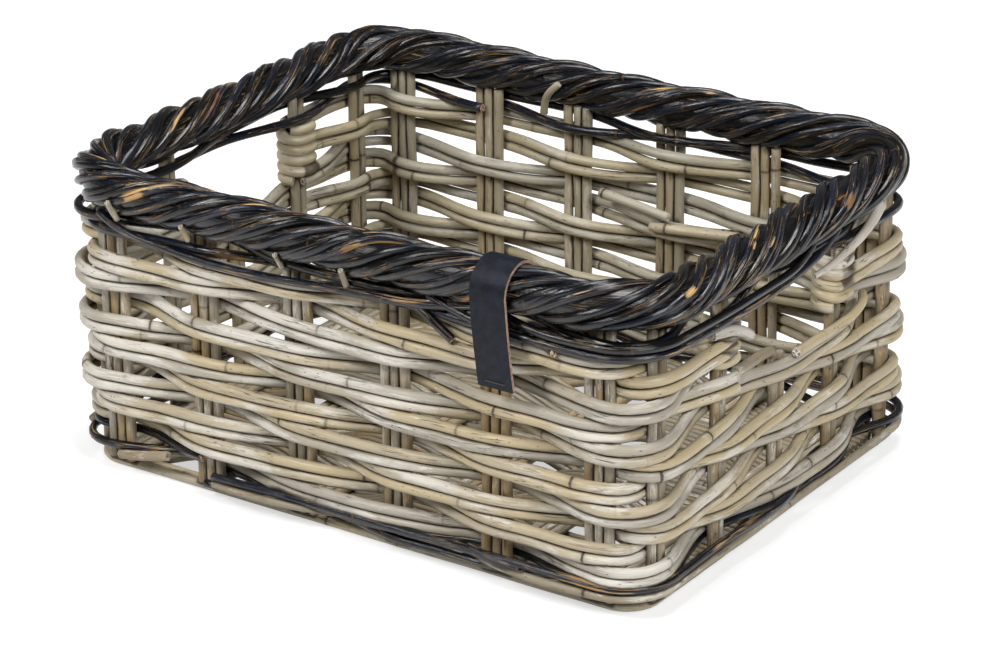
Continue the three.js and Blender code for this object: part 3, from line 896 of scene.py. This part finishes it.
def add_strand(number, material, rng, start, rod, height_at):
    """A loose rod outside a base wale, held in by a stake now and then."""
    inside_stake = 4 + (number - 1) * STRAND_SPAN // 2
    path = woven(
        rng, start + STRAND_SHIFT, start + STRAND_SHIFT + STRAND_SHARE * wall.length,
        lambda count: (2 if (count - inside_stake) % STRAND_SPAN else 0, None, None), rod,
        lambda s: height_at(s - STRAND_SHIFT) + STRAND_LIFTS[number - 1], STRAND_PROUD,
    )
    strand = Piece().tube(path, rod / 2 * STRAND_THINNER, rng, rings=0.2, sides=THIN_SIDES)
    strand.make(f"base_strand_{number}", material)


def add_wales():
    """Black rods above the base and below the border."""
    for index, (name, phase, from_stake, rod, lift, late_rise) in enumerate([
        ("base_wale_1", 0, 2, BASE_WALE, 1.4 * MM, 6 * MM), ("base_wale_2", 2, 2, BASE_WALE, 1.2 * MM, 2 * MM),
        ("top_wale_1", 1, 16, TOP_WALE, -0.4 * MM, 0), ("top_wale_2", 0, 16, TOP_WALE, 0.5 * MM, 0),
    ]):
        rng = Random(400 + index)
        low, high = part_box(name)
        slope = (high.z - low.z - rod) / wall.length if name.startswith("base") else 0
        start = place_of(from_stake) + LEVEL_GAP
        middle_height = (low.z + high.z) / 2 + lift
        swing = wander(rng, *WALE_SWING)

        def height(s):
            share = (s - start) / wall.length
            return middle_height + slope * wall.length * (share - 0.5) + late_rise * share ** 6 + swing(s)

        end = start + wall.length - 2 * LEVEL_GAP
        path = woven(rng, start, end, lambda count: (turn(count, phase), None, None), rod, height)
        Piece().tube(path, rod / 2, rng, rings=0.2, sides=THIN_SIDES).make(f"{name}_rod", black, name)
        if name.startswith("base"):
            add_strand(index + 1, (staked, black)[index], rng, start, rod, height)


def rim_path(s, push, height):
    """A path along the border, which stands a little higher at its corners than along its sides."""
    path = rim.at(s + RIM_SEAM, push, height)
    x = path[:, 0] / rim.half_length
    y = (path[:, 1] - rim.centre_y) / rim.half_width
    path[:, 2] += CORNER_RISE * np.clip(x * x * y * y, 0, 1) - SIDE_DROP
    return path


def add_rim():
    """The border: strands laid in bundles round a core, rising to the right as seen from outside."""
    piece = Piece()
    turns = round(rim.length / RIM_LAY)
    s = np.append(np.arange(0, rim.length, RIM_STEP), rim.length)
    reach = RIM_RADIUS - STRAND / 2
    for strand in range(RIM_STRANDS):
        rng = Random(500 + strand)
        share = strand / RIM_STRANDS
        bundle = share * RIM_BUNDLES % 1
        pull = BUNDLE_PULL * sin(tau * bundle)
        angle = tau * (share + pull / RIM_BUNDLES) + tau * turns * s / rim.length
        angle = angle + wander(rng, *RIM_TURN_SWING)(s)
        dip = BUNDLE_DIP * (0.5 + 0.5 * cos(tau * bundle))
        radial = reach - dip + wander(rng, *RIM_SWING)(s)
        path = rim_path(s, np.cos(angle) * radial, rim_height + np.sin(angle) * radial)
        piece.tube(path, STRAND / 2 * rng.uniform(0.92, 1.08), rng, rings=0.25, sides=THIN_SIDES)
    piece.tube(rim_path(s, 0, rim_height), reach - RIM_CORE_DEPTH, Random(499), tone=0, rings=0, sides=12)
    piece.make("rim_rods", black, "rim_border")


def corner_inset(y):
    """How much shorter a base rod is where it meets the wall's round corner."""
    radius = WALL_CORNER - BASE_ROD
    past = max(abs(y - wall_centre) - (wall.half_width - WALL_CORNER), 0)
    return radius - sqrt(max(radius ** 2 - past ** 2, 0))


def add_base():
    """Frame rods, cross bars and woven strips."""
    rng = Random(600)
    low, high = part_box("base_frame_rod")
    radius = (high.z - low.z) / 2
    frame_height = low.z + radius + BASE_LIFT
    piece = Piece()
    s = np.linspace(0, wall.length - LEVEL_GAP, 300)
    piece.tube(wall.at(s, FRAME_PUSH, frame_height), radius, rng)
    strip_low, strip_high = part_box("base_strip_1")[0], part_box("base_strip_5")[1]
    for strip_edge, side in ((strip_low.y, -1), (strip_high.y, 1)):
        frame_edge = wall_centre + side * (wall.half_width + FRAME_PUSH - radius)
        y = (strip_edge + frame_edge) / 2
        x = np.linspace(-1, 1, 60) * (strip_high.x - corner_inset(y) - MM)
        piece.tube(line_of(x, y, frame_height), radius, rng)
    piece.make("base_frame", natural, "base_frame_rod")

    bars = []
    for index in range(6):
        node = f"base_bar_{index + 1}"
        rng = Random(610 + index)
        low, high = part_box(node)
        bars.append(((low.x + high.x) / 2, (high.x - low.x) / 2))
        piece = Piece()
        for i in range(3):
            x = (low.x + high.x) / 2 + (i - 1) * STAKE
            y = np.linspace(low.y + 0.5 * MM, high.y - 0.5 * MM, 26)
            path = line_of(x + wander(rng, *BAR_SWING)(y), y, (low.z + high.z) / 2)
            piece.tube(path, STAKE / 2 * 0.98, rng, rings=0.2)
        piece.make(f"{node}_rods", staked, node)

    for strip in range(5):
        node = f"base_strip_{strip + 1}"
        rng = Random(620 + strip)
        low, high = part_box(node)
        rods = round((high.y - low.y) / BASE_ROD)
        spacing = (high.y - low.y) / rods
        piece = Piece()
        for i in range(rods):
            y = low.y + (i + 0.5) * spacing
            knots, heights = [low.x], [0.0]
            for bar, (x, half) in enumerate(bars):
                outermost = bar in (0, len(bars) - 1)
                over = not outermost and (bar + strip) % 2 == 1
                knots += [x - half, x + half]
                heights += [high.z - BASE_ROD if over else low.z] * 2
            knots, heights = knots + [high.x], heights + [0.0]
            inset = corner_inset(y)
            x = np.linspace(low.x + inset + MM, high.x - inset - MM, 100)
            z = smooth(knots, heights, x) + BASE_ROD / 2 + BASE_LIFT
            path = line_of(x, y + wander(rng, *STRIP_SWING)(x), z)
            piece.tube(path, spacing / 2, rng, rings=0.2, sides=THIN_SIDES)
        piece.make(f"{node}_rods", shaded_rattan, node)


# Loose rods: name, material, radii at both ends, wall (0 front, 1 right, 2 back), and points in mm: along the
# wall from its middle, outwards from the wall line, and height.
LOOSE = [
    ("pale_rod", bleached, (1.8, 4.0), 1, [
        (23, 13, 162), (47, 14.5, 164), (66, 15, 168), (89, 14, 173), (110, 11, 181),
    ]),
    ("lone_rod", natural, (3.4, 3.1), 1, [
        (3, 13, 118), (46, 12.5, 117), (76, 13, 119), (90, 11, 122), (99, 6, 123),
    ]),
    ("level_end_right", bleached, (3.5, 3.5), 1, [(-92, 9, 162), (-74, 13, 160), (-54, 12.5, 150)]),
    ("back_end_1", natural, (3.3, 3.4), 2, [(12, -10, 129), (-10, -12, 127.5), (-43, -12.5, 123)]),
    ("back_end_2", natural, (3.4, 3.3), 2, [(-30, -13, 114), (-60, -13, 116.5), (-101, -11, 120)]),
    ("back_end_3", staked, (2.8, 2.4), 2, [(60, -8, 177), (58, -9.5, 186), (52, -12, 195), (46, -11, 201)]),
    ("cane_end", staked, (3.2, 3.4), 0, [(-180, 9, 13.5), (-165, 11, 16.5), (-140, 9, 21.5)]),
    ("stub_1", staked, (2.0, 1.9), 0, [(-168, 14, 181), (-167.8, 18.6, 188), (-167.6, 23, 195)]),
    ("stub_2", staked, (1.9, 1.8), 0, [(-111, 14, 179), (-110.8, 17.5, 185), (-110.5, 21, 190)]),
    ("stub_3", staked, (1.9, 1.8), 0, [(-39, 12, 176), (-39.1, 15, 181), (-39.2, 18.5, 186)]),
    ("stub_4", staked, (2.0, 1.9), 0, [(11.4, 13, 173), (11.5, 16, 180), (11.7, 19.5, 187)]),
    ("brown_stub", black, (2.9, 3.3), 0, [(142, 2, 168.5), (153, 8, 168), (163, 15, 167)]),
    ("black_stub", black, (3.0, 3.0), 0, [(62, 11, 173), (72, 13, 168), (88.5, 12.5, 157)]),
    ("base_black_end", black, (3.1, 3.2), 0, [(96, 10, 20.5), (116, 12, 18.5), (137, 11, 16)]),
    ("black_strand_1", black, (2.6, 2.8), 0, [
        (-186, 10, 181), (-172, 13, 176), (-138, 14, 170), (-101, 14, 167), (-60, 13.5, 167), (-23, 13.5, 169),
        (20, 13.5, 172), (67, 13, 175), (103, 11, 181),
    ]),
    ("black_strand_2", black, (2.8, 2.8), 0, [
        (70, 10, 181), (100, 14, 175), (140, 14.5, 171), (182, 14, 170), (215, 13.5, 171), (250, 13.5, 170),
        (290, 13.5, 169), (330, 13.5, 169), (365, 13, 171), (395, 12, 175), (420, 9, 181),
    ]),
    ("black_strand_3", black, (2.7, 2.6), 0, [
        (118, 11, 182), (150, 14.5, 177), (182, 15, 176.5), (215, 14.5, 177), (250, 14.5, 176),
        (290, 14.5, 175), (330, 14.5, 175), (360, 14, 176.5), (385, 11, 182),
    ]),
]


def add_loose():
    """Loose rods and rod ends on the walls."""
    for index, (name, material, radii, side, spots) in enumerate(LOOSE):
        rng = Random(800 + index)
        spots = np.array(spots) * MM
        at = lengths(spots)
        fine = np.linspace(0, at[-1], max(8, round(at[-1] / (3 * MM))))
        along, push, height = bent(at, spots, fine).T
        radius = np.interp(fine, [0, at[-1]], radii) * MM
        path = wall.at(side * wall.length / 4 + along, push, height)
        Piece().tube(path, radius, rng, rings=0.3).make(name, material)


def tab_profile(drop):
    """The tab's inner face, from its inside end over the border and down: points and outward directions."""
    radius = RIM_RADIUS + TAB_GAP
    centre_y = wall_centre - rim.half_width
    inner = np.linspace(-TAB_INSIDE, 0, TAB_INSIDE_ROWS + 1)[:-1]
    line = [(centre_y + radius, rim_height + z) for z in inner]
    over = np.linspace(0, pi, 20)
    line += [(centre_y + cos(angle) * radius, rim_height + sin(angle) * radius) for angle in over]
    down = np.linspace(0, -drop, 16)[1:]
    line += [(centre_y - radius + TAB_BULGE * sin(pi * z / drop), rim_height + z) for z in down]
    line = np.array(line)
    tangent = tangents(line)
    return line, np.stack([tangent[:, 1], -tangent[:, 0]], axis=1)


def add_tab():
    low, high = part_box("leather_tab")
    line, outward = tab_profile(rim_height - low.z)
    steps = np.linspace(-1, 1, 9)
    points = []
    for thick in (0.0, TAB_THICK):
        for i, (y, z) in enumerate(line):
            lean = tan(TAB_LEAN) * max(rim_height - z, 0) if i > TAB_INSIDE_ROWS else 0
            for step in steps:
                x = (low.x + high.x) / 2 + step * (high.x - low.x) / 2 + lean
                points.append((x, y + outward[i][0] * thick, z + outward[i][1] * thick))
    inner, outer = np.arange(len(points)).reshape(2, len(line), len(steps)).tolist()
    faces = []
    for rows in (inner, outer):
        for a, b in zip(rows, rows[1:]):
            for j in range(len(steps) - 1):
                face = [a[j], a[j + 1], b[j + 1], b[j]]
                faces.append(face if rows is inner else face[::-1])
    sheets, edge = len(points), {}

    def edge_point(index):
        """The cut edge has its own copy of each point, so that it can be pale."""
        if index not in edge:
            edge[index] = len(points)
            points.append(points[index])
        return edge[index]

    borders = []
    for a, b, c, d in zip(inner, inner[1:], outer, outer[1:]):
        borders.append((a[0], c[0], d[0], b[0]))
        borders.append((a[-1], b[-1], d[-1], c[-1]))
    for j in range(len(steps) - 1):
        borders.append((inner[0][j], inner[0][j + 1], outer[0][j + 1], outer[0][j]))
        borders.append((inner[-1][j], outer[-1][j], outer[-1][j + 1], inner[-1][j + 1]))
    for border in borders:
        faces.append([edge_point(i) for i in border][::-1])
    piece = Piece()
    points = np.array(points)
    cut = (np.arange(len(points)) >= sheets) * 1.0
    piece.patch(points, faces, [False] * len(faces), rod_co=points, tone=0.0, ring=1.0, cut=cut)
    piece.make("tab_leather", navy, "leather_tab")


def add_seam():
    """Stitches across the tab's end."""
    low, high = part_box("tab_seam")
    piece = Piece()
    rng = Random(700)
    shift = tan(TAB_LEAN) * (rim_height - low.z)
    pitch = (high.x - low.x) / STITCHES
    t = np.linspace(-1, 1, 9)
    out = low.y + STITCH_OUT - STITCH_ARCH * np.cos(t * pi / 2)
    height = (low.z + high.z) / 2 + STITCH_SLANT * t
    for i in range(STITCHES):
        x = low.x + (i + 0.5) * pitch + shift
        path = line_of(x + t * pitch * STITCH_SHARE, out, height)
        piece.tube(path, THREAD_RADIUS, rng, rings=0, sides=THIN_SIDES, cuts=False)
    piece.make("tab_stitches", thread, "tab_seam")


# Half the floor's length, how far it lies under the basket, and the lamps: name, place, size and watts.
FLOOR, FLOOR_GAP = 12, 0.2 * MM
LAMPS = [
    ("key", (-0.7, -1.6, 1.7), 0.6, 29), ("fill", (1.7, -0.8, 1.4), 0.7, 28), ("top", (0.1, 0.2, 2.1), 0.8, 33),
]


def add_stage():
    """Floor, light and camera."""
    white = (1.0, 1.0, 1.0, 1.0)
    s = Shader("studio", bpy.data.worlds, "Background")
    seen = s.node("ShaderNodeLightPath").outputs["Is Camera Ray"]
    s.set(Color=white, Strength=s.blend(seen, 0.15, 1.0))
    bpy.context.scene.world = s.owner

    s = Shader("pale_floor")
    s.set(Base_Color=(0.55, 0.55, 0.55, 1.0), Roughness=0.9, Specular_IOR_Level=0.1)
    view = s.node("ShaderNodeLightPath").outputs
    seen = s.plus(view["Is Camera Ray"], view["Is Glossy Ray"])
    s.set(Emission_Color=white, Emission_Strength=s.times(seen, 0.6))
    mesh = bpy.data.meshes.new("floor")
    corners = [(-FLOOR, -FLOOR, 0), (FLOOR, -FLOOR, 0), (FLOOR, FLOOR, 0), (-FLOOR, FLOOR, 0)]
    mesh.from_pydata(corners, [], [[0, 1, 2, 3]])
    mesh.materials.append(s.owner)
    floor = linked("floor", mesh)
    floor.location.z = -FLOOR_GAP
    floor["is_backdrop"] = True

    for name, place, size, energy in LAMPS:
        light = bpy.data.lights.new(name, "AREA")
        light.size, light.energy = size, energy
        aimed(name, light, place, Vector((0, 0, 0.1)) - Vector(place))

    # The camera is fitted to the photograph's view.
    azimuth, elevation, roll = (radians(angle) for angle in (34.4563, 22.8604, -0.5611))
    away = 2.2389
    target = Vector((0.0387, -0.0470, 0.1063))
    back = Vector((
        sin(azimuth) * cos(elevation), -cos(azimuth) * cos(elevation), sin(elevation)
    ))
    data = bpy.data.cameras.new("camera")
    data.lens, data.sensor_width = 126.9654, 36
    bpy.context.scene.camera = aimed("camera", data, target + back * away, -back, roll)
    bpy.context.scene.view_settings.view_transform = "Standard"


add_stage()
add_stakes()
add_rounds()
add_upper()
add_wraps()
add_wales()
add_rim()
add_base()
add_loose()
add_tab()
add_seam()
add_contact_shade()

low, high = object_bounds()
